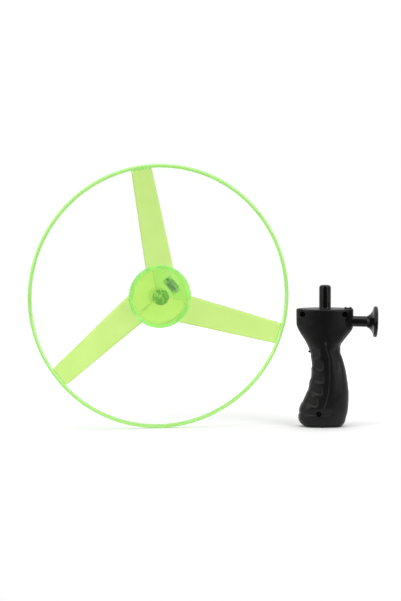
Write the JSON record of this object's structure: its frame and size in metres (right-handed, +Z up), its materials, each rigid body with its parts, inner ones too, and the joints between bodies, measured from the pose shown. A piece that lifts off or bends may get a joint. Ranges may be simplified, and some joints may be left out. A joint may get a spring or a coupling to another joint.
{
  "type": "flying disc launcher",
  "caption": "Pistol-grip pull-cord launcher with a keyed spindle and a round pull knob, beside the bladed ring disc with a domed light hub that it spins up and throws.",
  "frame": {"origin": "on the floor under the spindle's axis, in the flat base of the grip", "axes": "+X from the spindle towards the pull knob, -Y towards the side with the screws, +Z up along the spindle"},
  "size_m": [0.3312, 0.0542, 0.2514],
  "materials": {
    "matte_black": "fine moulded texture",
    "gloss_black": "smooth",
    "natural_white": "smooth, unpainted",
    "steel": "bright",
    "dark_steel": "blackened",
    "cord": "braided",
    "bright_green": "fluorescent, translucent",
    "pale_green": "fluorescent, translucent",
    "circuit_board": "lacquered",
    "clear_epoxy": "clear"
  },
  "bodies": {
    "housing": {"front_shell": "matte_black", "rear_shell": "matte_black", "screw_head_left": "dark_steel", "screw_head_right": "dark_steel", "screw_base": "dark_steel", "cord_guide": "matte_black", "cord_run": "cord", "recoil_spring": "steel", "spring_cup": "natural_white", "spring_cover": "natural_white"},
    "reel": {"spindle": "gloss_black", "reel_drum": "natural_white", "wound_cord": "cord"},
    "pull": {"pull_knob": "gloss_black", "pull_cord": "cord", "cord_knot": "cord"},
    "disc": {"outer_rim": "bright_green", "rotor": "pale_green", "dome_cap": "bright_green", "light_board": "circuit_board", "cell_holder": "matte_black", "cell_inner": "steel", "cell_outer": "steel", "led": "clear_epoxy", "spin_switch": "steel"}
  },
  "joints": [
    {"name": "pull_slide", "type": "slide", "parent": "housing", "child": "pull", "axis": [1, 0, 0], "range_m": [0, 0.45], "stiffness_N_per_m": 4.5, "springref_m": -0.25},
    {"name": "reel_spin", "type": "hinge", "parent": "housing", "child": "reel", "pos_m": [0, 0, 0.1], "axis": [0, 0, 1], "range_deg": [0, 3310]},
    {"name": "disc_spin", "type": "hinge", "parent": "housing", "child": "disc", "pos_m": [-0.1578, -0.013, 0.1257], "axis": [0.1925, -0.9813, 0], "continuous": true}
  ],
  "couplings": [
    {"joint": "reel_spin", "follows": "pull_slide", "rad_per_m": 128.2}
  ]
}
